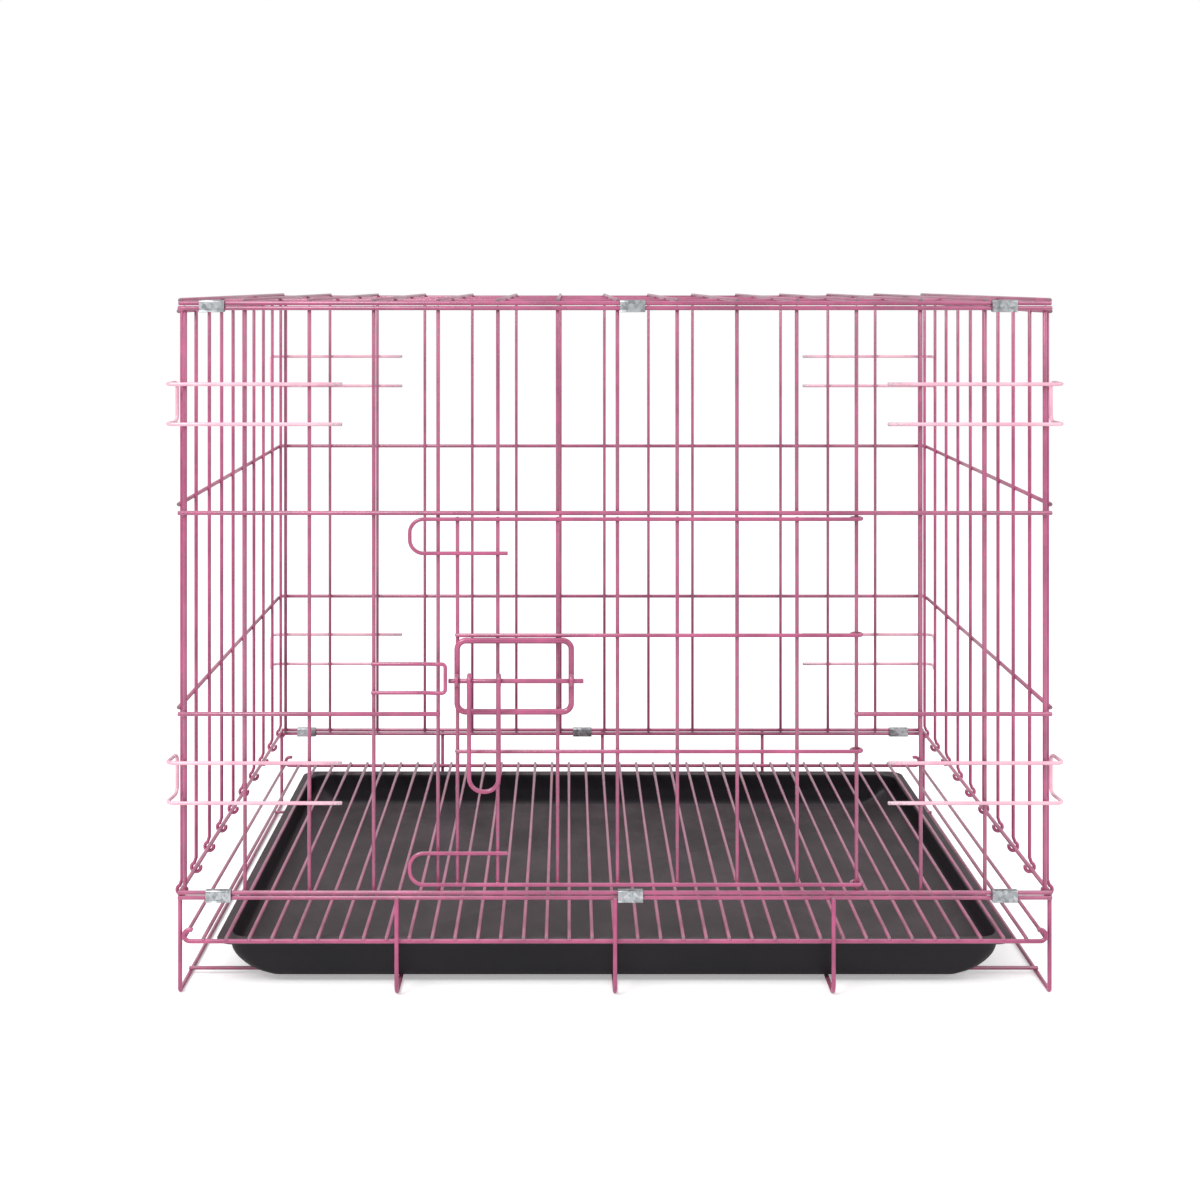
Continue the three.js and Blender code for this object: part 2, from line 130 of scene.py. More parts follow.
# Door.
DOOR_EYE_RADIUS = (2 * corner(THIN) + 0.4) / EYE_CORNER
DOOR_WIRE_Y = -(UPRIGHT_Y + DOOR_EYE_RADIUS)
DOOR_UPRIGHT_Y = DOOR_WIRE_Y + THIN_WEAVE
DOOR_TOP_Z = FRONT_MID_Z[1] - 4.1
DOOR_BOTTOM_Z = BOTTOM_Z + 5.9
DOOR_HEIGHT = DOOR_TOP_Z - DOOR_BOTTOM_Z
DOOR_CROSS_Z = [DOOR_BOTTOM_Z + share * DOOR_HEIGHT for share in (0.3646, 0.6823)]
DOOR_EDGE_X = FRAME_X + 13.5
DOOR_HOOK_TIP_X = FRAME_X - 19.3
DOOR_HOOK_END_X = FRAME_X + 48.3
DOOR_HOOK_TOP = 23.5
DOOR_HOOK_BOTTOM = 21.6
DOOR_HOOK_RADIUS = 9.5

# Side panels, which fold past the door's eyes.
EYE_RADIUS = (corner(RAIL) + corner(THIN) + 0.1) / EYE_CORNER
SIDE_POST_Y = UPRIGHT_Y - DOOR_EYE_RADIUS - 2 * corner(THIN) - GAP
SIDE_WIRE_Y = np.linspace(-SIDE_POST_Y, SIDE_POST_Y, 10)

# Latch.
LOOP_LENGTH = 78.5
LOOP_HEIGHT = 48.9
LOOP_CORNER = 6.0
GUIDE_RADIUS = (corner(BOLT) + corner(RING) + GAP) / EYE_CORNER
HANDLE_EYE_RADIUS = (corner(BOLT) + corner(RAIL) + GAP) / EYE_CORNER
LOOP_Y = DOOR_UPRIGHT_Y - flat(THIN) - GAP - flat(THICK)
LOOP_Z = DOOR_BOTTOM_Z + 0.572 * DOOR_HEIGHT
BOLT_Y = DOOR_WIRE_Y - flat(THIN) - GAP - corner(RAIL) - HANDLE_EYE_RADIUS
BOLT_Z = LOOP_Z - 2
BOLT_X = (DOOR_EDGE_X - 5.7, DOOR_EDGE_X + 86.9)
HANDLE_X = (DOOR_EDGE_X + 8.6, DOOR_EDGE_X + 28.9)
HANDLE_DROP = 75.5
HANDLE_RADIUS = 9.5
HANDLE_LEAN = 1.1  # how far the foot of the handle stands in front of the bolt
CATCH_Y = BOLT_Y - corner(BOLT) - GAP - corner(THIN)
CATCH_START_X = LEFT_BAY[2] - 1.5
CATCH_END_X = BOLT_X[0] - corner(THIN) - 0.4
CATCH_STEP_X = (CATCH_END_X - 15, CATCH_END_X - 6)  # where its legs start and stop stepping forward
CATCH_HALF = 9.9
CATCH_RISE = 2.4
CATCH_RADII = (2, 2, 2.5, 2.5, 2, 2)

# Corner hooks.
HOOK_Y = UPRIGHT_Y + 2 * flat(THIN) + GAP
HOOK_START_X = SIDE_X - 112.6
HOOK_END_X = SIDE_X + EYE_RADIUS + 2 * corner(THIN) + GAP
HOOK_OUT_X = HOOK_END_X + 2.6
HOOK_REACH = 22.5
HOOK_HALF = 13.8
HOOK_CORNER = 5.0
HOOK_Z = {"lower": BOTTOM_Z + 0.1878 * WALL_HEIGHT, "upper": BOTTOM_Z + 0.8356 * WALL_HEIGHT}

# Clips.
SHEET = 0.6
CLIP_WIDTH = 17.4
CLIP_CLEARANCE = 0.35
CLIP_LIP = 0.4
CLIP_REACH = corner(RAIL) + CLIP_CLEARANCE / 2 + SHEET / 2
CLIP_FLARE = 0.5
CLIP_RADII = (1, 1.2, 1.2, 1.2)
CLIP_EDGE_RADIUS = 0.25

# Base, grate and tray.
HOOP_CORNER = 2.2
LEG_CORNER = 7.0
FLOOR_WIRE_Y = DEPTH / 2.4
FLOOR_WIRE_Z = 2 * flat(RAIL) + GAP + flat(THIN)
GRATE_X = SIDE_X - corner(RAIL) - GAP - corner(THIN)
GRATE_RAIL_Z = 37.0
SLAT_Z = GRATE_RAIL_Z + WEAVE
SLAT_COUNT = 37
SLAT_END_GAP = 13.5  # from the last evenly spaced slat to the one at the grate's end
SLAT_END_Y = RAIL_Y + 0.9
CURL_RADIUS = 4.0
TRAY_X = SIDE_X - 22.6
TRAY_Y = HOOP_Y - corner(RAIL) - 1.7
TRAY_BOTTOM_Z = FLOOR_WIRE_Z + flat(THIN) + GAP
TRAY_RIM_Z = 33.8
TRAY_WALL = 1.8

# Camera, with its place in metres.
CAMERA_AT = (-0.0324, -1.372, 0.493)
CAMERA_LENS = 50.55
CAMERA_SHIFT = (0.0267, -0.2667)

# Studio: the floor's half width in metres, what the floor adds to itself where the camera sees it, and the
# surround's strength where it lights the cage and where the camera sees it.
FLOOR_REACH = 6.0
FLOOR_GLOW = 0.35
SURROUND_LIGHT = 0.7
SURROUND_SEEN = 1.0

# Weld nuggets: half thickness, half spread, and how far their middles lie inside the wire they sit on.
WELD_HALF_THICKNESS = 0.8
WELD_HALF_SPREAD = 1.75
WELD_SINK = 0.25
SIDE_WELD_SINK = 0.1

# How worn things are, from 0 to 1: nuggets, folded sheet, and the sheet's cut ends.
NUGGET_WEAR = 0.35
SHEET_WEAR = 0.2
SHEET_END_WEAR = 0.8

# Where eyes and curls start and stop turning, in degrees.
SIDE_EYE_TURN = (-205, 65)
DOOR_EYE_TURN = (-90, 190)
HANDLE_EYE_TURN = (0, 250)
CURL_TURN = (0, 210)

# Mesh fineness.
WIRE_SIDES = 16
BEND_STEPS = 10
EYE_STEPS = 20
RING_STEPS = 32
CATCH_BEND_STEPS = 6
CLIP_BEND_STEPS = 8

X_AXIS = np.array([1.0, 0.0, 0.0])
Y_AXIS = np.array([0.0, 1.0, 0.0])
Z_AXIS = np.array([0.0, 0.0, 1.0])
SKEW = np.array([0.36, 0.48, 0.80])  # never along a wire, so it can start every section's frame


# ---------------------------------------------------------------- lines


def line(*points):
    """A straight or bent line through the points, one row each."""
    return np.array(points, float)


def arc(centre, u, v, radius, start, stop, steps=BEND_STEPS):
    """centre + radius * (u cos a + v sin a), for angles a in even steps from start to stop in degrees."""
    a = np.radians(np.linspace(start, stop, steps + 1))[:, None]
    return np.asarray(centre, float) + radius * (np.cos(a) * np.asarray(u) + np.sin(a) * np.asarray(v))


def rounded(corners, radii, steps=BEND_STEPS):
    """The line through corners, each inner one replaced by the arc of its radius that touches both sides."""
    corners = np.asarray(corners, float)
    rows = [corners[:1]]
    for before, at, after, radius in zip(corners, corners[1:], corners[2:], radii):
        back = (before - at) / np.linalg.norm(before - at)
        ahead = (after - at) / np.linalg.norm(after - at)
        half = math.acos(np.clip(back @ ahead, -1, 1)) / 2
        middle = (back + ahead) / np.linalg.norm(back + ahead)
        across = (ahead - back) / np.linalg.norm(ahead - back)
        turn = 90 - math.degrees(half)
        centre = at + middle * radius / math.sin(half)
        rows.append(arc(centre, -middle, across, radius, -turn, turn, steps))
    rows.append(corners[-1:])
    return np.vstack(rows)


def mirrored(points, x=1, y=1):
    """The points with X and Y each multiplied by 1 or -1."""
    return points * np.array([x, y, 1])


# ---------------------------------------------------------------- surfaces


def unit_rows(rows):
    """Each row divided by its length."""
    return rows / np.linalg.norm(rows, axis=1, keepdims=True)


def circles(centres, tangents, radii, sides):
    """Rings: centre + radius * (a cos s + b sin s), with a and b square to the tangent at each centre."""
    a = unit_rows(SKEW - (tangents @ SKEW)[:, None] * tangents)
    b = np.cross(tangents, a)
    s = np.linspace(0, 2 * math.pi, sides, endpoint=False)
    circle = np.cos(s)[None, :, None] * a[:, None] + np.sin(s)[None, :, None] * b[:, None]
    return centres[:, None] + radii[:, None, None] * circle


def ring_faces(rings, sides, closed=False):
    """Quads between each ring of points and the next, and from the last to the first when closed."""
    ring = np.arange(rings if closed else rings - 1)[:, None]
    side = np.arange(sides)[None, :]
    here = ring * sides
    there = (ring + 1) % rings * sides
    after = (side + 1) % sides
    return np.stack([here + side, here + after, there + after, there + side], -1).reshape(-1, 4)


def fan_caps(rings, sides):
    """Triangles that close the first ring and the last, each to its own vertex after all the rings."""
    side = np.arange(sides)
    after = (side + 1) % sides
    last = (rings - 1) * sides
    first_cap = np.stack([np.full(sides, rings * sides), after, side], -1)
    last_cap = np.stack([np.full(sides, rings * sides + 1), last + side, last + after], -1)
    return np.vstack([first_cap, last_cap])


def tube(points, diameter, sides=WIRE_SIDES):
    """A round wire along a line: line(t) + r(t) * (a cos s + b sin s), with a and b square to the line.

    The radius r falls from full to 0.55 of it over the last third of a radius, as on a sheared, coated end.
    Returns vertices, quads, triangles and how worn each vertex is, 1 at an end fading over about 2 mm.
    """
    points = np.asarray(points, float)
    radius = diameter / 2
    unit = unit_rows(np.diff(points, axis=0))
    tangent = unit_rows(np.vstack([unit[:1], unit[:-1] + unit[1:], unit[-1:]]))
    inset = radius * np.array([0.0, 0.08, 0.3])
    shrink = np.array([0.55, 0.86, 1.0])
    head = points[0] + inset[:, None] * unit[0]
    tail = points[-1] - inset[::-1, None] * unit[-1]
    centres = np.vstack([head, points[1:-1], tail])
    tangents = np.vstack([np.tile(unit[0], (3, 1)), tangent[1:-1], np.tile(unit[-1], (3, 1))])
    scale = np.concatenate([shrink, np.ones(len(points) - 2), shrink[::-1]])
    rings = circles(centres, tangents, radius * scale, sides)
    vertices = np.vstack([rings.reshape(-1, 3), points[:1], points[-1:]])
    run = np.concatenate([[0], np.cumsum(np.linalg.norm(np.diff(centres, axis=0), axis=1))])
    worn = np.exp(-np.minimum(run, run[-1] - run) / 2.0)
    worn = np.concatenate([np.repeat(worn, sides), [1.0, 1.0]])
    return vertices, ring_faces(len(centres), sides), fan_caps(len(centres), sides), worn


def loop(points, diameter, sides=WIRE_SIDES):
    """A round wire along a closed line, with the last point joined to the first."""
    points = np.asarray(points, float)
    unit = unit_rows(np.roll(points, -1, 0) - points)
    tangent = unit_rows(unit + np.roll(unit, 1, 0))
    rings = circles(points, tangent, np.full(len(points), diameter / 2), sides)
    vertices = rings.reshape(-1, 3)
    no_triangles = np.zeros((0, 3), int)
    return vertices, ring_faces(len(points), sides, closed=True), no_triangles, np.zeros(len(vertices))


def nugget(centre, radii, sides=10, bands=5):
    """A weld nugget: centre + radii * (cos p cos s, cos p sin s, sin p), closed at both of its poles."""
    p = np.radians(np.linspace(-90, 90, bands + 1)[1:-1])[:, None]
    s = np.linspace(0, 2 * math.pi, sides, endpoint=False)[None, :]
    shell = np.stack([np.cos(p) * np.cos(s), np.cos(p) * np.sin(s), np.sin(p) + 0 * s], -1).reshape(-1, 3)
    shell = np.vstack([shell, [[0, 0, -1], [0, 0, 1]]])
    vertices = np.asarray(centre, float) + shell * np.asarray(radii, float)
    worn = np.full(len(vertices), NUGGET_WEAR)
    return vertices, ring_faces(bands - 1, sides), fan_caps(bands - 1, sides), worn


def weld(points, normal):
    """Nuggets spread flat across `normal` at each point where two wires cross."""
    radii = np.where(np.abs(normal) > 0.5, WELD_HALF_THICKNESS, WELD_HALF_SPREAD)
    return [nugget(point, radii) for point in points]


def make_mesh(name, parts):
    """One mesh object from several (vertices, quads, triangles, worn) parts, smooth shaded, in metres."""
    offsets = np.cumsum([0] + [len(part[0]) for part in parts])
    vertices = np.vstack([part[0] for part in parts]) * MM
    quads = np.vstack([part[1] + start for part, start in zip(parts, offsets)])
    triangles = np.vstack([part[2] + start for part, start in zip(parts, offsets)])
    mesh = bpy.data.meshes.new(name)
    mesh.from_pydata(vertices, [], quads.tolist() + triangles.tolist())
    worn = mesh.attributes.new("worn", "FLOAT", "POINT")
    worn.data.foreach_set("value", np.concatenate([part[3] for part in parts]).astype(np.float32))
    mesh.polygons.foreach_set("use_smooth", np.ones(len(mesh.polygons), bool))
    mesh.update()
    piece = bpy.data.objects.new(name, mesh)
    bpy.context.scene.collection.objects.link(piece)
    return piece


def add_piece(node, parts, material):
    """Makes the piece that stands for one CAD node and rides on that node's body."""
    piece = make_mesh(node + "_look", parts)
    piece.data.materials.append(material)
    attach(piece, frame["nodes"][node]["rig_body"])
    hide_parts(node)


# ---------------------------------------------------------------- materials


def linear(hex_colour):
    """A colour written as on a screen, as the linear values that a shader takes."""
    screen = [int(hex_colour[i : i + 2], 16) / 255 for i in (0, 2, 4)]
    return [c / 12.92 if c <= 0.04045 else ((c + 0.055) / 1.055) ** 2.4 for c in screen] + [1.0]


class Tree:
    """A node tree with short calls for adding and joining nodes."""

    def __init__(self, tree):
        self.tree = tree

    def add(self, kind, settings=None, **inputs):
        """Adds a node, sets its properties, and sets or links its inputs.

        An input is given by its name, with underscores for spaces, or by i and its number.
        """
        node = self.tree.nodes.new(kind)
        for key, value in (settings or {}).items():
            setattr(node, key, value)
        for key, value in inputs.items():
            label = int(key[1:]) if key[1:].isdigit() else key.replace("_", " ")
            socket = node.inputs[label]
            if isinstance(value, bpy.types.NodeSocket):
                self.tree.links.new(value, socket)
            else:
                socket.default_value = value
        return node

    def maths(self, operation, first, second, clamp=False):
        """first operation second."""
        settings = {"operation": operation, "use_clamp": clamp}
        return self.add("ShaderNodeMath", settings, i0=first, i1=second).outputs[0]

    def blend(self, factor, first, second):
        """The colour first where factor is 0 and second where it is 1."""
        node = self.add("ShaderNodeMix", {"data_type": "RGBA"}, i0=factor, i6=first, i7=second)
        return node.outputs[2]

    def ramp(self, value, low, high, to_low=0.0, to_high=1.0):
        """value from low..high to to_low..to_high, smoothly and clamped."""
        settings = {"interpolation_type": "SMOOTHSTEP"}
        node = self.add("ShaderNodeMapRange", settings, i0=value, i1=low, i2=high, i3=to_low, i4=to_high)
        return node.outputs[0]

    def noise(self, where, scale, detail, rough=0.5):
        """Smooth noise about 1/scale metres across."""
        node = self.add("ShaderNodeTexNoise", Vector=where, Scale=scale, Detail=detail, Roughness=rough)
        return node.outputs["Fac"]


def new_group(name, inputs, outputs):
    """A shader node group with the named float inputs (and their defaults) and outputs."""
    tree = bpy.data.node_groups.new(name, "ShaderNodeTree")
    for label, value in inputs.items():
        socket = tree.interface.new_socket(label, in_out="INPUT", socket_type="NodeSocketFloat")
        socket.default_value = value
    for label in outputs:
        tree.interface.new_socket(label, in_out="OUTPUT", socket_type="NodeSocketFloat")
    return tree, Tree(tree), tree.nodes.new("NodeGroupInput"), tree.nodes.new("NodeGroupOutput")


def make_grain_group():
    """Grain: a fine height for bump, and a slow patchiness, both from Object coordinates."""
    tree, t, given, out = new_group("grain", {"Fine": 900.0, "Patch": 25.0}, ["Height", "Patches"])
    where = t.add("ShaderNodeTexCoord").outputs["Object"]
    fine = t.noise(where, given.outputs["Fine"], 2.0, 0.6)
    broad = t.noise(where, t.maths("MULTIPLY", given.outputs["Fine"], 0.22), 2.0)
    height = t.maths("ADD", t.maths("MULTIPLY", fine, 0.6), t.maths("MULTIPLY", broad, 0.4))
    tree.links.new(height, out.inputs["Height"])
    tree.links.new(t.noise(where, given.outputs["Patch"], 4.0, 0.6), out.inputs["Patches"])
    return tree


def make_wear_group():
    """Wear: where the coat is rubbed through, near ends and welds, broken up by noise."""
    tree, t, given, out = new_group("wear", {"Amount": 0.5, "Break": 700.0}, ["Mask"])
    where = t.add("ShaderNodeTexCoord").outputs["Object"]
    worn = t.add("ShaderNodeAttribute", {"attribute_name": "worn"}).outputs["Fac"]
    spots = t.noise(where, given.outputs["Break"], 4.0, 0.7)
    rubbed = t.maths("MULTIPLY", worn, t.maths("ADD", spots, given.outputs["Amount"]))
    tree.links.new(t.ramp(rubbed, 0.72, 0.92), out.inputs["Mask"])
    return tree


def make_dust_and_top_light_group():
    """Dust and painted top light: a thin uneven film on what faces up, standing for dust and for the light
    that falls on tops.
    """
    tree, t, given, out = new_group("dust_and_top_light", {"Amount": 0.3, "Scale": 60.0}, ["Mask"])
    where = t.add("ShaderNodeTexCoord").outputs["Object"]
    normal = t.add("ShaderNodeNewGeometry").outputs["Normal"]
    up = t.ramp(t.add("ShaderNodeSeparateXYZ", Vector=normal).outputs["Z"], 0.35, 0.95)
    film = t.ramp(t.noise(where, given.outputs["Scale"], 5.0, 0.65), 0.3, 0.75, 0.45, 1.0)
    settled_and_lit = t.maths("MULTIPLY", up, film)
    tree.links.new(t.maths("MULTIPLY", settled_and_lit, given.outputs["Amount"], clamp=True), out.inputs["Mask"])
    return tree


GRAIN = make_grain_group()
WEAR = make_wear_group()
DUST_AND_TOP_LIGHT = make_dust_and_top_light_group()


def place(t, tree, **inputs):
    """Puts a shared group in a material with its own values."""
    return t.add("ShaderNodeGroup", {"node_tree": tree}, **inputs).outputs


def new_material(name):
    """An empty node material: its tree and its Principled shader."""
    material = bpy.data.materials.new(name)
    material.use_nodes = True
    tree = material.node_tree
    tree.nodes.clear()
    t = Tree(tree)
    shader = t.add("ShaderNodeBsdfPrincipled")
    output = t.add("ShaderNodeOutputMaterial")
    tree.links.new(shader.outputs[0], output.inputs[0])
    return material, t, shader


def finish_surface(t, shader, colour, rough, height, depth):
    """Joins colour, roughness and a bump of the given depth in metres to the shader."""
    bump = t.add("ShaderNodeBump", Height=height, Distance=depth, Strength=1.0)
    t.tree.links.new(colour, shader.inputs["Base Color"])
    t.tree.links.new(rough, shader.inputs["Roughness"])
    t.tree.links.new(bump.outputs[0], shader.inputs["Normal"])


def powder_coat(name, colour, deep, bare, wear):
    """Satin powder coat over wire: slight orange peel, thin patches, coat gone at cut ends, dust and painted
    top light on top.
    """
    material, t, shader = new_material(name)
    grain = place(t, GRAIN, Fine=1100.0, Patch=35.0)
    rubbed = place(t, WEAR, Amount=wear, Break=900.0)["Mask"]
    dust_and_top_light = place(t, DUST_AND_TOP_LIGHT, Amount=0.16, Scale=90.0)["Mask"]
    patches = t.ramp(grain["Patches"], 0.3, 0.7)
    coat = t.blend(patches, linear(deep), linear(colour))
    coat = t.blend(rubbed, coat, linear(bare))
    # Painted top light and dust: a pale film lightens what faces up.
    coat = t.blend(dust_and_top_light, coat, linear("d9d2d2"))
    rough = t.maths("ADD", t.maths("MULTIPLY", grain["Patches"], 0.16), 0.24)
    rough = t.maths("ADD", rough, t.maths("MULTIPLY", dust_and_top_light, 0.5))
    finish_surface(t, shader, coat, rough, grain["Height"], 0.00006)
    shader.inputs["Specular IOR Level"].default_value = 0.6
    shader.inputs["Coat Weight"].default_value = 0.5
    shader.inputs["Coat Roughness"].default_value = 0.15
    return material


def zinc_sheet():
    """Bright galvanised sheet: faint spangle, drawn scratches along X and dull patches."""
    material, t, shader = new_material("zinc sheet")
    where = t.add("ShaderNodeTexCoord").outputs["Object"]
    grain = place(t, GRAIN, Fine=700.0, Patch=120.0)
    spangle = t.add("ShaderNodeTexVoronoi", Vector=where, Scale=420.0).outputs["Color"]
    spangle = t.add("ShaderNodeSeparateColor", Color=spangle).outputs["Red"]
    drawn = t.add("ShaderNodeMapping", Vector=where, Scale=(120.0, 4200.0, 4200.0)).outputs[0]
    scratches = t.noise(drawn, 1.0, 3.0, 0.7)
    colour = t.blend(spangle, linear("8f9396"), linear("c8cbce"))
    colour = t.blend(place(t, WEAR, Amount=0.3, Break=500.0)["Mask"], colour, linear("66696c"))
    rough = t.maths("ADD", t.maths("MULTIPLY", grain["Patches"], 0.22), 0.2)
    rough = t.maths("ADD", rough, t.maths("MULTIPLY", scratches, 0.12))
    height = t.maths("ADD", t.maths("MULTIPLY", scratches, 0.6), t.maths("MULTIPLY", grain["Height"], 0.4))
    finish_surface(t, shader, colour, rough, height, 0.00005)
    shader.inputs["Metallic"].default_value = 0.9
    return material


def tray_plastic():
    """Black moulded plastic: fine leather-like grain, a grey film of dust and painted top light on what
    faces up, paler worn edges.
    """
    material, t, shader = new_material("tray plastic")
    grain = place(t, GRAIN, Fine=1400.0, Patch=9.0)
    dust_and_top_light = place(t, DUST_AND_TOP_LIGHT, Amount=0.62, Scale=16.0)["Mask"]
    rubbed = place(t, WEAR, Amount=0.35, Break=260.0)["Mask"]
    colour = t.blend(t.ramp(grain["Patches"], 0.3, 0.7), linear("141216"), linear("1e1b20"))
    # Painted top light and dust: a grey film lightens the floor and rim, which face up.
    colour = t.blend(dust_and_top_light, colour, linear("6c6366"))
    colour = t.blend(rubbed, colour, linear("4a4548"))
    rough = t.maths("ADD", t.maths("MULTIPLY", grain["Patches"], 0.2), 0.28)
    rough = t.maths("ADD", rough, t.maths("MULTIPLY", dust_and_top_light, 0.3))
    finish_surface(t, shader, colour, rough, grain["Height"], 0.00008)
    shader.inputs["Specular IOR Level"].default_value = 0.25
    return material


PINK = powder_coat("pink powder coat", "b44e7a", "943b63", "6f6b6d", 0.42)
PALE = powder_coat("pale pink coat", "edbccb", "dd9fb4", "9a9698", 0.5)
ZINC = zinc_sheet()
BLACK = tray_plastic()


# ---------------------------------------------------------------- wires


def along_x(y, z, start, stop, diameter):
    """A straight wire along X."""
    return tube(line([start, y, z], [stop, y, z]), diameter)


def along_y(x, z, start, stop, diameter):
    """A straight wire along Y."""
    return tube(line([x, start, z], [x, stop, z]), diameter)


def upright(x, y, start, stop, diameter):
    """A straight wire along Z."""
    return tube(line([x, y, start], [x, y, stop]), diameter)


def pink(node, parts):
    """A node in pink coated wire."""
    add_piece(node, parts, PINK)


def pale(node, parts):
    """A node in pale coated wire."""
    add_piece(node, parts, PALE)


def wall_welds(side, xs, zs):
    """Nuggets where the uprights at xs cross the rails at zs, on the inner face of the rails."""
    y = side * (RAIL_Y - RAIL / 2 + WELD_SINK)
    return weld([(x, y, z) for x in xs for z in zs], Y_AXIS)


def front_panel():
    """Rails, posts and uprights of the front wall, open where the door is."""
    low, high = BOTTOM_Z - OVERRUN, TOP_Z + OVERRUN
    parts = [along_x(-RAIL_Y, z, -RAIL_END_X, RAIL_END_X, RAIL) for z in (BOTTOM_Z, FRONT_MID_Z[1], TOP_Z)]
    parts.append(along_x(-RAIL_Y, FRONT_MID_Z[0], -RAIL_END_X, FRAME_X + OVERRUN, RAIL))
    parts.append(along_x(-RAIL_Y, FRONT_MID_Z[0], HINGE_X - OVERRUN, RAIL_END_X, RAIL))
    parts += [upright(x, -POST_Y, low, high, RAIL) for x in (-POST_X, POST_X)]
    full = LEFT_BAY + [FRAME_X, HINGE_X] + RIGHT_BAY
    parts += [upright(x, -UPRIGHT_Y, low, high, THIN) for x in full]
    parts += [upright(x, -UPRIGHT_Y, FRONT_MID_Z[1] - OVERRUN, high, THIN) for x in DOOR_BAY]
    parts += wall_welds(-1, full + [-POST_X, POST_X], (BOTTOM_Z, *FRONT_MID_Z, TOP_Z))
    parts += wall_welds(-1, DOOR_BAY, (FRONT_MID_Z[1], TOP_Z))
    pink("front_panel", parts)


def back_panel():
    """Rails, posts and uprights of the back wall."""
    low, high = BOTTOM_Z - OVERRUN, TOP_Z + OVERRUN
    heights = (BOTTOM_Z, *BACK_MID_Z, TOP_Z)
    parts = [along_x(RAIL_Y, z, -RAIL_END_X, RAIL_END_X, RAIL) for z in heights]
    parts += [upright(x, POST_Y, low, high, RAIL) for x in (-POST_X, POST_X)]
    parts += [upright(x, UPRIGHT_Y, low, high, THIN) for x in WALL_X]
    parts += wall_welds(1, WALL_X + [-POST_X, POST_X], heights)
    pink("back_panel", parts)


def side_panel(node, side):
    """Uprights that end in eyes round the base's side rail, and three rails outside them."""
    x = side * SIDE_X
    heights = (*BACK_MID_Z, SIDE_TOP_Z)
    parts = []
    for y in SIDE_WIRE_Y:
        eye = arc([x, y, HOOP_Z], side * X_AXIS, Z_AXIS, EYE_RADIUS, *SIDE_EYE_TURN, EYE_STEPS)
        rise = line([x, y, HOOP_Z + 2.1 * EYE_RADIUS], [x, y, SIDE_TOP_Z + OVERRUN])
        parts.append(tube(np.vstack([eye, rise]), THIN))
    rail_x = side * (SIDE_X + WEAVE)
    end = SIDE_POST_Y + OVERRUN
    parts += [along_y(rail_x, z, -end, end, RAIL) for z in heights]
    weld_x = side * (SIDE_X + THIN / 2 - SIDE_WELD_SINK)
    parts += weld([(weld_x, y, z) for y in SIDE_WIRE_Y for z in heights], X_AXIS)
    pink(node, parts)


def lid():
    """Four cross rails, with the side rails and inner wires on top of them."""
    cross = (-RAIL_Y, -RAIL_Y / 3, RAIL_Y / 3, RAIL_Y)
    end = BAY_END_X + OVERRUN
    parts = [along_x(y, LID_Z, -end, end, RAIL) for y in cross]
    top = LID_Z + WEAVE
    parts += [along_y(x, top, -RAIL_Y, RAIL_Y + OVERRUN, RAIL) for x in (-BAY_END_X, BAY_END_X)]
    parts += [along_y(x, top, -RAIL_Y, RAIL_Y + OVERRUN, THIN) for x in WALL_X]
    parts += weld([(x, y, LID_Z + RAIL / 2 - WELD_SINK) for x in WALL_X for y in cross[1:]], Z_AXIS)
    pink("lid", parts)


def door_eye(z):
    """The end of a door cross wire, turned round the hinge wire."""
    return arc([HINGE_X, -UPRIGHT_Y, z], X_AXIS, Y_AXIS, DOOR_EYE_RADIUS, *DOOR_EYE_TURN, EYE_STEPS)


def hooked_wire(z, rise):
    """The door's top or bottom wire: an eye at the right, and at the left a hook that ends `rise` higher."""
    eye = door_eye(z)
    hook = [
        [DOOR_HOOK_END_X, DOOR_WIRE_Y, z + rise],
        [DOOR_HOOK_TIP_X, DOOR_WIRE_Y, z + rise],
        [DOOR_HOOK_TIP_X, DOOR_WIRE_Y, z],
        eye[0],
    ]
    line_in = rounded(hook, [DOOR_HOOK_RADIUS, DOOR_HOOK_RADIUS])[:-1]
    return tube(np.vstack([line_in, eye]), THIN)


def door():
    """Cross wires with eyes round the hinge wire, the outer two hooked, and uprights behind them."""
    parts = [hooked_wire(DOOR_TOP_Z, -DOOR_HOOK_TOP), hooked_wire(DOOR_BOTTOM_Z, DOOR_HOOK_BOTTOM)]
    for z in DOOR_CROSS_Z:
        parts.append(tube(np.vstack([[[DOOR_EDGE_X - OVERRUN, DOOR_WIRE_Y, z]], door_eye(z)]), THIN))
    columns = [DOOR_EDGE_X] + DOOR_BAY
    low, high = DOOR_BOTTOM_Z - OVERRUN, DOOR_TOP_Z + OVERRUN
    parts += [upright(x, DOOR_UPRIGHT_Y, low, high, THIN) for x in columns]
    weld_y = (DOOR_WIRE_Y + DOOR_UPRIGHT_Y) / 2
    heights = (DOOR_TOP_Z, *DOOR_CROSS_Z, DOOR_BOTTOM_Z)
    parts += weld([(x, weld_y, z) for x in columns for z in heights], Y_AXIS)
    hooked = (DOOR_TOP_Z - DOOR_HOOK_TOP, DOOR_BOTTOM_Z + DOOR_HOOK_BOTTOM)
    parts += weld([(x, weld_y, z) for x in columns[:2] for z in hooked], Y_AXIS)
    pink("door", parts)


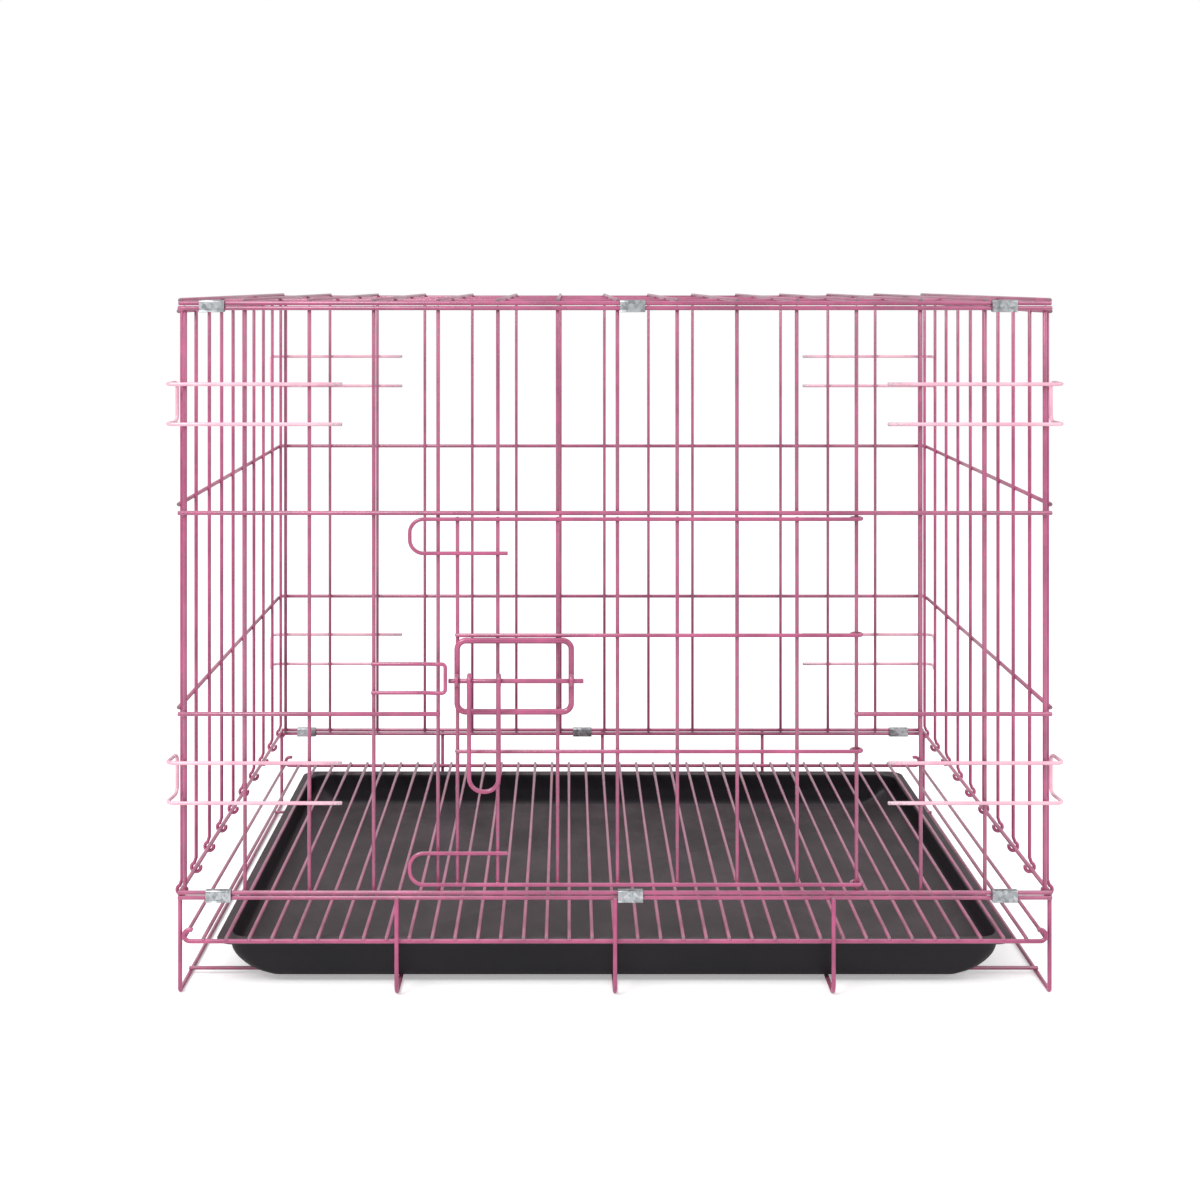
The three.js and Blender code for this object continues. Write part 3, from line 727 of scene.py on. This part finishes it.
def latch_frame():
    """The guide loop of thick wire, with a ring on each of its upright bars."""
    left, right = DOOR_EDGE_X, DOOR_EDGE_X + LOOP_LENGTH
    low, high = LOOP_Z - LOOP_HEIGHT / 2, LOOP_Z + LOOP_HEIGHT / 2
    middle = (left + right) / 2
    box = [[middle, LOOP_Y, low], [left, LOOP_Y, low], [left, LOOP_Y, high], [right, LOOP_Y, high]]
    box += [[right, LOOP_Y, low], [middle, LOOP_Y, low]]
    parts = [loop(rounded(box, [LOOP_CORNER] * 4)[:-1], THICK)]
    for x in (left, right):
        ring = arc([x, BOLT_Y, BOLT_Z], Y_AXIS, Z_AXIS, GUIDE_RADIUS, 0, 360, RING_STEPS)[:-1]
        parts.append(loop(ring, RING))
    pink("latch_frame", parts)


def latch_handle():
    """A U of wire with an eye round the bolt at each end."""
    eyes = [
        arc([x, BOLT_Y, BOLT_Z], -Y_AXIS, Z_AXIS, HANDLE_EYE_RADIUS, *HANDLE_EYE_TURN, EYE_STEPS)
        for x in HANDLE_X
    ]
    feet = [[x, BOLT_Y - HANDLE_LEAN, BOLT_Z - HANDLE_DROP] for x in HANDLE_X]
    bend = rounded([eyes[0][0], *feet, eyes[1][0]], [HANDLE_RADIUS, HANDLE_RADIUS])
    pink("latch_handle", [tube(np.vstack([eyes[0][::-1], bend[1:-1], eyes[1]]), RAIL)])


def latch_catch():
    """A thin U on the front panel, whose legs joggle forward to stand in front of the bolt's tip."""
    legs = [
        [
            [CATCH_START_X, -HOOK_Y, z],
            [CATCH_STEP_X[0], -HOOK_Y, z],
            [CATCH_STEP_X[1], CATCH_Y, z + CATCH_RISE],
            [CATCH_END_X, CATCH_Y, z + CATCH_RISE],
        ]
        for z in (BOLT_Z + CATCH_HALF, BOLT_Z - CATCH_HALF)
    ]
    path = rounded(legs[0] + legs[1][::-1], CATCH_RADII, CATCH_BEND_STEPS)
    pink("latch_catch", [tube(path, THIN)])


def corner_hooks():
    """Eight hairpins, two at each corner, made once and mirrored."""
    for level, z in HOOK_Z.items():
        upper = [
            [HOOK_START_X, -HOOK_Y, z + HOOK_HALF],
            [HOOK_OUT_X, -HOOK_Y, z + HOOK_HALF],
            [HOOK_END_X, -RAIL_Y + HOOK_REACH, z + HOOK_HALF],
        ]
        lower = [[x, y, 2 * z - height] for x, y, height in reversed(upper)]
        path = rounded(upper + lower, [HOOK_CORNER] * 4)
        for wall, y in (("front", 1), ("back", -1)):
            for place_name, x in (("left", -1), ("right", 1)):
                pale("_".join([wall, "hook", place_name, level]), [tube(mirrored(path, x, y), THIN)])


def base():
    """Front and back rails, side hoops, leg hoops and floor wires."""
    pink("base_front_rail", [along_x(-RAIL_Y, BASE_HEIGHT, -RAIL_END_X, RAIL_END_X, RAIL)])
    pink("base_back_rail", [along_x(RAIL_Y, BASE_HEIGHT, -RAIL_END_X, RAIL_END_X, RAIL)])
    floor = RAIL / 2
    for name, x in (("side_hoop_left", -SIDE_X), ("side_hoop_right", SIDE_X)):
        box = [[x, 0, HOOP_Z], [x, HOOP_Y, HOOP_Z], [x, HOOP_Y, floor], [x, -HOOP_Y, floor]]
        box += [[x, -HOOP_Y, HOOP_Z], [x, 0, HOOP_Z]]
        pink(name, [loop(rounded(box, [HOOP_CORNER] * 4)[:-1], RAIL)])
    top = BASE_HEIGHT + OVERRUN
    for name, x in (("left", -WIDTH / 4), ("centre", 0.0), ("right", WIDTH / 4)):
        hoop = [[x, -LEG_Y, top], [x, -LEG_Y, floor], [x, LEG_Y, floor], [x, LEG_Y, top]]
        pink("leg_hoop_" + name, [tube(rounded(hoop, [LEG_CORNER] * 2), RAIL)])
    for name, y in (("front", -FLOOR_WIRE_Y), ("back", FLOOR_WIRE_Y)):
        pink("floor_wire_" + name, [along_x(y, FLOOR_WIRE_Z, -RAIL_END_X, RAIL_END_X, THIN)])


def floor_grate():
    """Slats across the cage on a rail at the front and one at the back, whose ends curl up."""
    pitch = (GRATE_X - SLAT_END_GAP) / ((SLAT_COUNT - 1) / 2)
    slats = [-GRATE_X, *((np.arange(SLAT_COUNT) - (SLAT_COUNT - 1) / 2) * pitch), GRATE_X]
    parts = [along_y(x, SLAT_Z, -SLAT_END_Y, SLAT_END_Y, THIN) for x in slats]
    for y in (-RAIL_Y, RAIL_Y):
        centre = [GRATE_X - CURL_RADIUS, y, GRATE_RAIL_Z + CURL_RADIUS]
        curl = arc(centre, -Z_AXIS, X_AXIS, CURL_RADIUS, *CURL_TURN, EYE_STEPS)
        parts.append(tube(np.vstack([mirrored(curl[::-1], x=-1), curl]), RAIL))
    weld_z = GRATE_RAIL_Z + RAIL / 2 - WELD_SINK
    parts += weld([(x, y, weld_z) for x in slats[1:-1] for y in (-RAIL_Y, RAIL_Y)], Z_AXIS)
    pink("floor_grate", parts)


# ---------------------------------------------------------------- clips and tray


def strip(path, x_half, thickness, ease):
    """Sheet carried along a line in the YZ plane: line(t) + n(t) * c + X * w round the section's outline.

    The section is 2 * x_half wide and `thickness` thick with eased corners, and n is square to the line.
    """
    path = np.asarray(path, float)
    unit = unit_rows(np.diff(path, axis=0))
    tangent = unit_rows(np.vstack([unit[:1], unit[:-1] + unit[1:], unit[-1:]]))
    square = np.cross(tangent, X_AXIS)
    half = thickness / 2
    turn = np.radians(np.arange(0, 360, 22.5) + 11.25)
    across = np.sign(np.cos(turn)) * (x_half - ease) + ease * np.cos(turn)
    through = np.sign(np.sin(turn)) * (half - ease) + ease * np.sin(turn)
    rings = path[:, None] + across[None, :, None] * X_AXIS + through[None, :, None] * square[:, None]
    count, sides = rings.shape[:2]
    vertices = np.vstack([rings.reshape(-1, 3), path[:1], path[-1:]])
    worn = np.full(len(vertices), SHEET_WEAR)
    worn[: 2 * sides] = SHEET_END_WEAR
    worn[-2 * sides - 2 :] = SHEET_END_WEAR
    return vertices, ring_faces(count, sides), fan_caps(count, sides), worn


def clip(node, side):
    """A folded sleeve round two stacked rails, whose outer face ends below in a small flared lip."""
    low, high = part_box(node)
    x = (low.x + high.x) / 2 / MM
    low_z = (low.z / MM) + CLIP_LIP + CLIP_REACH
    out = side * (RAIL_Y + CLIP_REACH)
    inside = side * (RAIL_Y - CLIP_REACH)
    path = rounded(
        [
            [x, out + side * CLIP_FLARE, low_z - CLIP_REACH - CLIP_LIP + 0.1],
            [x, out, low_z - CLIP_REACH + 0.3],
            [x, out, low_z + STACK + CLIP_REACH],
            [x, inside, low_z + STACK + CLIP_REACH],
            [x, inside, low_z - CLIP_REACH],
            [x, out - side * (SHEET + GAP), low_z - CLIP_REACH],
        ],
        CLIP_RADII,
        CLIP_BEND_STEPS,
    )
    add_piece(node, [strip(path, CLIP_WIDTH / 2, SHEET, CLIP_EDGE_RADIUS)], ZINC)


def clips():
    """Nine clips: three on the lid, three at the front of the base and three at the back."""
    for kind, side in (("lid", -1), ("front", -1), ("back", 1)):
        for place_name in ("left", "centre", "right"):
            clip(kind + "_clip_" + place_name, side)


def basin(rings, sides=25):
    """A closed skin over rounded rectangles, whose corners are centre + radius * (cos a, sin a).

    Each ring is (half length, half depth, corner radius, height, worn). A fan closes the first and last.
    """
    a = np.radians(np.linspace(0, 90, sides))[None, :] + np.radians([[0], [90], [180], [270]])
    signs = np.array([[1, 1], [-1, 1], [-1, -1], [1, -1]])[:, None, :]
    unit = np.stack([np.cos(a), np.sin(a)], -1)
    rows = []
    for half_x, half_y, radius, height, _ in rings:
        flat_ring = signs * np.array([half_x - radius, half_y - radius]) + radius * unit
        rows.append(np.dstack([flat_ring, np.full(a.shape, height)]).reshape(-1, 3))
    count = 4 * sides
    centres = [[0, 0, rings[0][3]], [0, 0, rings[-1][3]]]
    worn = np.concatenate([np.repeat([ring[4] for ring in rings], count), [0.0, 0.0]])
    vertices = np.vstack(rows + [centres])
    return vertices, ring_faces(len(rings), count), fan_caps(len(rings), count), worn


def eased(rows, steps=5):
    """The Catmull-Rom curve through the rows, carried on straight by one row past each end.

    From row b to row c, with a before them and d after them, it is half of
    2 b + (c - a) t + (2 a - 5 b + 4 c - d) t^2 + (3 b - 3 c + d - a) t^3, at `steps` even values of t.
    """
    rows = np.array(rows, float)
    rows = np.vstack([2 * rows[:1] - rows[1:2], rows, 2 * rows[-1:] - rows[-2:-1]])
    t = (np.arange(steps) / steps)[:, None]
    spans = []
    for a, b, c, d in zip(rows, rows[1:], rows[2:], rows[3:]):
        square = (2 * a - 5 * b + 4 * c - d) * t**2
        cube = (3 * b - 3 * c + d - a) * t**3
        spans.append(0.5 * (2 * b + (c - a) * t + square + cube))
    return np.vstack([*spans, rows[-2:-1]])


def tray():
    """A basin whose wall curves out of its floor and stands steeply below a flat rim.

    A row is how far the wall stands in from the rim along X and along Y, its corner radius, height and wear.
    """
    under = TRAY_RIM_Z - TRAY_WALL
    outside = eased(
        [
            (30.0, 13.5, 14.0, TRAY_BOTTOM_Z, 0.6),
            (21.0, 11.9, 14.0, TRAY_BOTTOM_Z + 3.6, 0.2),
            (13.0, 10.8, 14.0, TRAY_BOTTOM_Z + 9.8, 0.0),
            (8.5, 9.9, 14.0, TRAY_BOTTOM_Z + 16.4, 0.0),
            (7.0, 9.0, 14.0, under, 0.0),
        ]
    )
    rim = [
        (0.5, 0.5, 12.0, under, 0.4),
        (0.0, 0.0, 12.0, under + 0.5, 0.8),
        (0.0, 0.0, 12.0, TRAY_RIM_Z - 0.6, 0.8),
        (0.2, 0.2, 12.0, TRAY_RIM_Z - 0.2, 1.0),
        (0.7, 0.7, 12.0, TRAY_RIM_Z, 0.8),
        (8.0, 10.2, 13.0, TRAY_RIM_Z, 0.4),
        (8.7, 10.7, 13.0, TRAY_RIM_Z - 0.4, 0.6),
    ]
    inside = eased(
        [
            (8.9, 10.9, 13.0, TRAY_RIM_Z - 1.0, 0.3),
            (10.3, 11.7, 13.0, TRAY_BOTTOM_Z + 16.4, 0.0),
            (14.6, 12.6, 13.0, TRAY_BOTTOM_Z + 10.6, 0.0),
            (22.2, 13.7, 13.0, TRAY_BOTTOM_Z + 4.9, 0.0),
            (30.5, 15.2, 13.0, TRAY_BOTTOM_Z + TRAY_WALL, 0.0),
        ]
    )
    profile = np.vstack([outside, rim, inside])
    rings = [(TRAY_X - x, TRAY_Y - y, radius, z, worn) for x, y, radius, z, worn in profile]
    add_piece("tray", [basin(rings)], BLACK)


front_panel()
back_panel()
side_panel("left_panel", -1)
side_panel("right_panel", 1)
lid()
door()
latch_frame()
pink("latch_bolt", [along_x(BOLT_Y, BOLT_Z, *BOLT_X, BOLT)])
latch_handle()
latch_catch()
corner_hooks()
base()
floor_grate()
clips()
tray()


# ---------------------------------------------------------------- studio


def studio():
    """A pale floor, a bright even surround and two soft lights."""
    floor = bpy.data.meshes.new("floor")
    corners = [(x * FLOOR_REACH, y * FLOOR_REACH, 0) for x, y in ((-1, -1), (1, -1), (1, 1), (-1, 1))]
    floor.from_pydata(corners, [], [(0, 1, 2, 3)])
    ground = bpy.data.objects.new("floor", floor)
    bpy.context.scene.collection.objects.link(ground)
    material, t, shader = new_material("studio floor")
    shader.inputs["Base Color"].default_value = (0.93, 0.93, 0.93, 1)
    shader.inputs["Roughness"].default_value = 0.9
    shader.inputs["Emission Color"].default_value = (1, 1, 1, 1)
    seen = t.add("ShaderNodeLightPath").outputs["Is Camera Ray"]
    t.tree.links.new(t.maths("MULTIPLY", seen, FLOOR_GLOW), shader.inputs["Emission Strength"])
    floor.materials.append(material)

    world = bpy.data.worlds.new("studio")
    world.use_nodes = True
    tree = world.node_tree
    seen = Tree(tree).add("ShaderNodeLightPath").outputs["Is Camera Ray"]
    background = tree.nodes["Background"]
    background.inputs["Color"].default_value = (1, 1, 1, 1)
    strength = Tree(tree).ramp(seen, 0.0, 1.0, SURROUND_LIGHT, SURROUND_SEEN)
    tree.links.new(strength, background.inputs["Strength"])
    bpy.context.scene.world = world
    bpy.context.scene.view_settings.view_transform = "Standard"

    for name, where, aim, size, power in (
        ("key", (-1.4, -1.6, 2.2), (0, 0, 0.2), 1.2, 55),
        ("fill", (1.8, -1.0, 1.4), (0, 0, 0.2), 1.2, 15),
    ):
        light = bpy.data.lights.new(name, "AREA")
        light.size = size
        light.energy = power
        lamp = bpy.data.objects.new(name, light)
        lamp.location = where
        direction = np.array(aim) - np.array(where)
        flat_reach = math.hypot(direction[0], direction[1])
        tilt = math.atan2(flat_reach, -direction[2])
        lamp.rotation_euler = (tilt, 0, math.atan2(-direction[0], direction[1]))
        bpy.context.scene.collection.objects.link(lamp)


def camera():
    """A level camera in front, a little left of the middle, with its frame shifted down to the cage."""
    lens = bpy.data.cameras.new("camera")
    lens.sensor_width = 36
    lens.lens = CAMERA_LENS
    lens.shift_x, lens.shift_y = CAMERA_SHIFT
    body = bpy.data.objects.new("camera", lens)
    body.location = CAMERA_AT
    body.rotation_euler = (math.radians(90), 0, 0)
    bpy.context.scene.collection.objects.link(body)
    bpy.context.scene.camera = body


studio()
camera()
